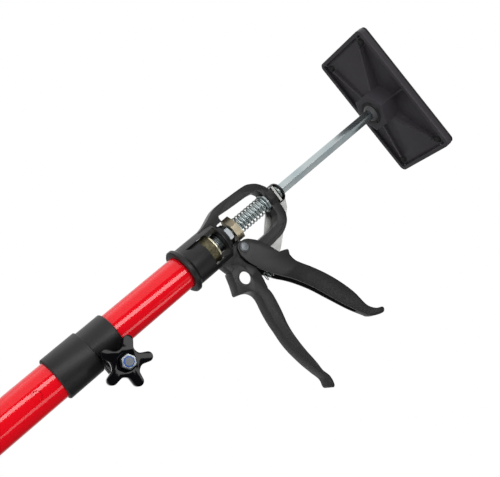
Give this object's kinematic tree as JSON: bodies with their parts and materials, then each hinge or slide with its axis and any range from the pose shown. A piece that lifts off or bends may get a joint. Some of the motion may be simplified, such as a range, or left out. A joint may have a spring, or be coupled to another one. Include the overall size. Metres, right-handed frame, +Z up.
{
  "type": "telescopic quick-support prop",
  "caption": "Telescopic steel support prop with a clamped tube slide, a squeeze-trigger jacking grip with a hexagonal push rod, and a swivelling rubber-faced pad at each end.",
  "frame": {"origin": "centre of the foot pad's underside, on the pole's axis", "axes": "+Z up the pole to the top pad, +X from the pole towards the handle, Y across the grip (the star knob is on -Y)"},
  "size_m": [0.2097, 0.076, 1.286],
  "materials": {
    "red_tube": "gloss powder coat",
    "black_plastic": "satin, moulded",
    "knob": "gloss",
    "rubber": "matt",
    "ball": "satin",
    "zinc": "bright zinc plated",
    "passivated": "yellow passivated zinc",
    "lever_steel": "dull pressed steel",
    "rivet": "satin"
  },
  "bodies": {
    "outer_tube": {"outer_tube": "red_tube", "clamp_collar": "black_plastic", "clamp_bolt": "zinc", "clamp_lock_nut": "zinc", "foot_plug": "black_plastic", "foot_stem": "zinc", "foot_ball_screw": "zinc"},
    "foot_ball": {"foot_ball": "ball"},
    "foot_liner": {"foot_liner": "black_plastic"},
    "foot_pad": {"foot_plate": "black_plastic", "foot_socket_cap": "black_plastic", "foot_rubber": "rubber"},
    "clamp_washer": {"clamp_washer": "zinc"},
    "star_knob": {"star_knob": "knob"},
    "tube_slide": {"glide_bush": "black_plastic"},
    "inner_tube": {"inner_tube": "red_tube", "tube_nut": "passivated", "grip_frame": "black_plastic", "hollow_bolt": "zinc", "spring_washer": "zinc", "main_spring": "zinc", "brake_spring": "zinc", "trigger_rivet": "rivet", "return_spring": "zinc"},
    "drive_plate": {"drive_plate": "passivated"},
    "trigger": {"trigger": "black_plastic"},
    "release_lever": {"release_lever": "lever_steel"},
    "push_rod": {"push_rod": "zinc", "rod_stop": "zinc", "top_ball_screw": "zinc"},
    "top_ball": {"top_ball": "ball"},
    "top_liner": {"top_liner": "black_plastic"},
    "top_pad": {"top_plate": "black_plastic", "top_socket_cap": "black_plastic", "top_rubber": "rubber"}
  },
  "joints": [
    {"name": "foot_swivel", "type": "hinge", "parent": "outer_tube", "child": "foot_ball", "pos_m": [0, 0, 0.0195], "axis": [0, 0, 1], "continuous": true},
    {"name": "foot_tilt_x", "type": "hinge", "parent": "foot_ball", "child": "foot_liner", "pos_m": [0, 0, 0.0195], "axis": [1, 0, 0], "range_deg": [-15, 15]},
    {"name": "foot_tilt_y", "type": "hinge", "parent": "foot_liner", "child": "foot_pad", "pos_m": [0, 0, 0.0195], "axis": [0, 1, 0], "range_deg": [-15, 15]},
    {"name": "knob_turn", "type": "hinge", "parent": "clamp_washer", "child": "star_knob", "pos_m": [0.0223, 0, 0.94925], "axis": [0, -1, 0], "range_deg": [0, 360]},
    {"name": "washer_play", "type": "slide", "parent": "outer_tube", "child": "clamp_washer", "axis": [0, -1, 0], "range_m": [0, 0.0011]},
    {"name": "tube_extend", "type": "slide", "parent": "outer_tube", "child": "tube_slide", "axis": [0, 0, 1], "range_m": [-0.0615, 0.66]},
    {"name": "tube_turn", "type": "hinge", "parent": "tube_slide", "child": "inner_tube", "pos_m": [0, 0, 0.17], "axis": [0, 0, 1], "continuous": true},
    {"name": "trigger_squeeze", "type": "hinge", "parent": "inner_tube", "child": "trigger", "pos_m": [0.016, 0, 1.082], "axis": [0, 1, 0], "range_deg": [0, 22], "stiffness_Nm_per_rad": 1.2, "springref_deg": -8.59, "deforming": ["return_spring"]},
    {"name": "plate_lift", "type": "slide", "parent": "inner_tube", "child": "drive_plate", "axis": [0, 0, 1], "range_m": [0, 0.0032], "deforming": ["main_spring"]},
    {"name": "lever_release", "type": "hinge", "parent": "inner_tube", "child": "release_lever", "pos_m": [-0.007, 0, 1.1344], "axis": [0, -1, 0], "range_deg": [0, 4], "stiffness_Nm_per_rad": 2, "springref_deg": -5.73},
    {"name": "rod_jack", "type": "slide", "parent": "inner_tube", "child": "push_rod", "axis": [0, 0, 1], "range_m": [-0.105, 0.035]},
    {"name": "top_swivel", "type": "hinge", "parent": "push_rod", "child": "top_ball", "pos_m": [0, 0, 1.2665], "axis": [0, 0, 1], "continuous": true},
    {"name": "top_tilt_x", "type": "hinge", "parent": "top_ball", "child": "top_liner", "pos_m": [0, 0, 1.2665], "axis": [1, 0, 0], "range_deg": [-15, 15]},
    {"name": "top_tilt_y", "type": "hinge", "parent": "top_liner", "child": "top_pad", "pos_m": [0, 0, 1.2665], "axis": [0, 1, 0], "range_deg": [-15, 15]}
  ],
  "couplings": [
    {"joint": "washer_play", "follows": "knob_turn", "m_per_rad": 0.000159},
    {"joint": "plate_lift", "follows": "trigger_squeeze", "m_per_rad": 0.0069}
  ]
}
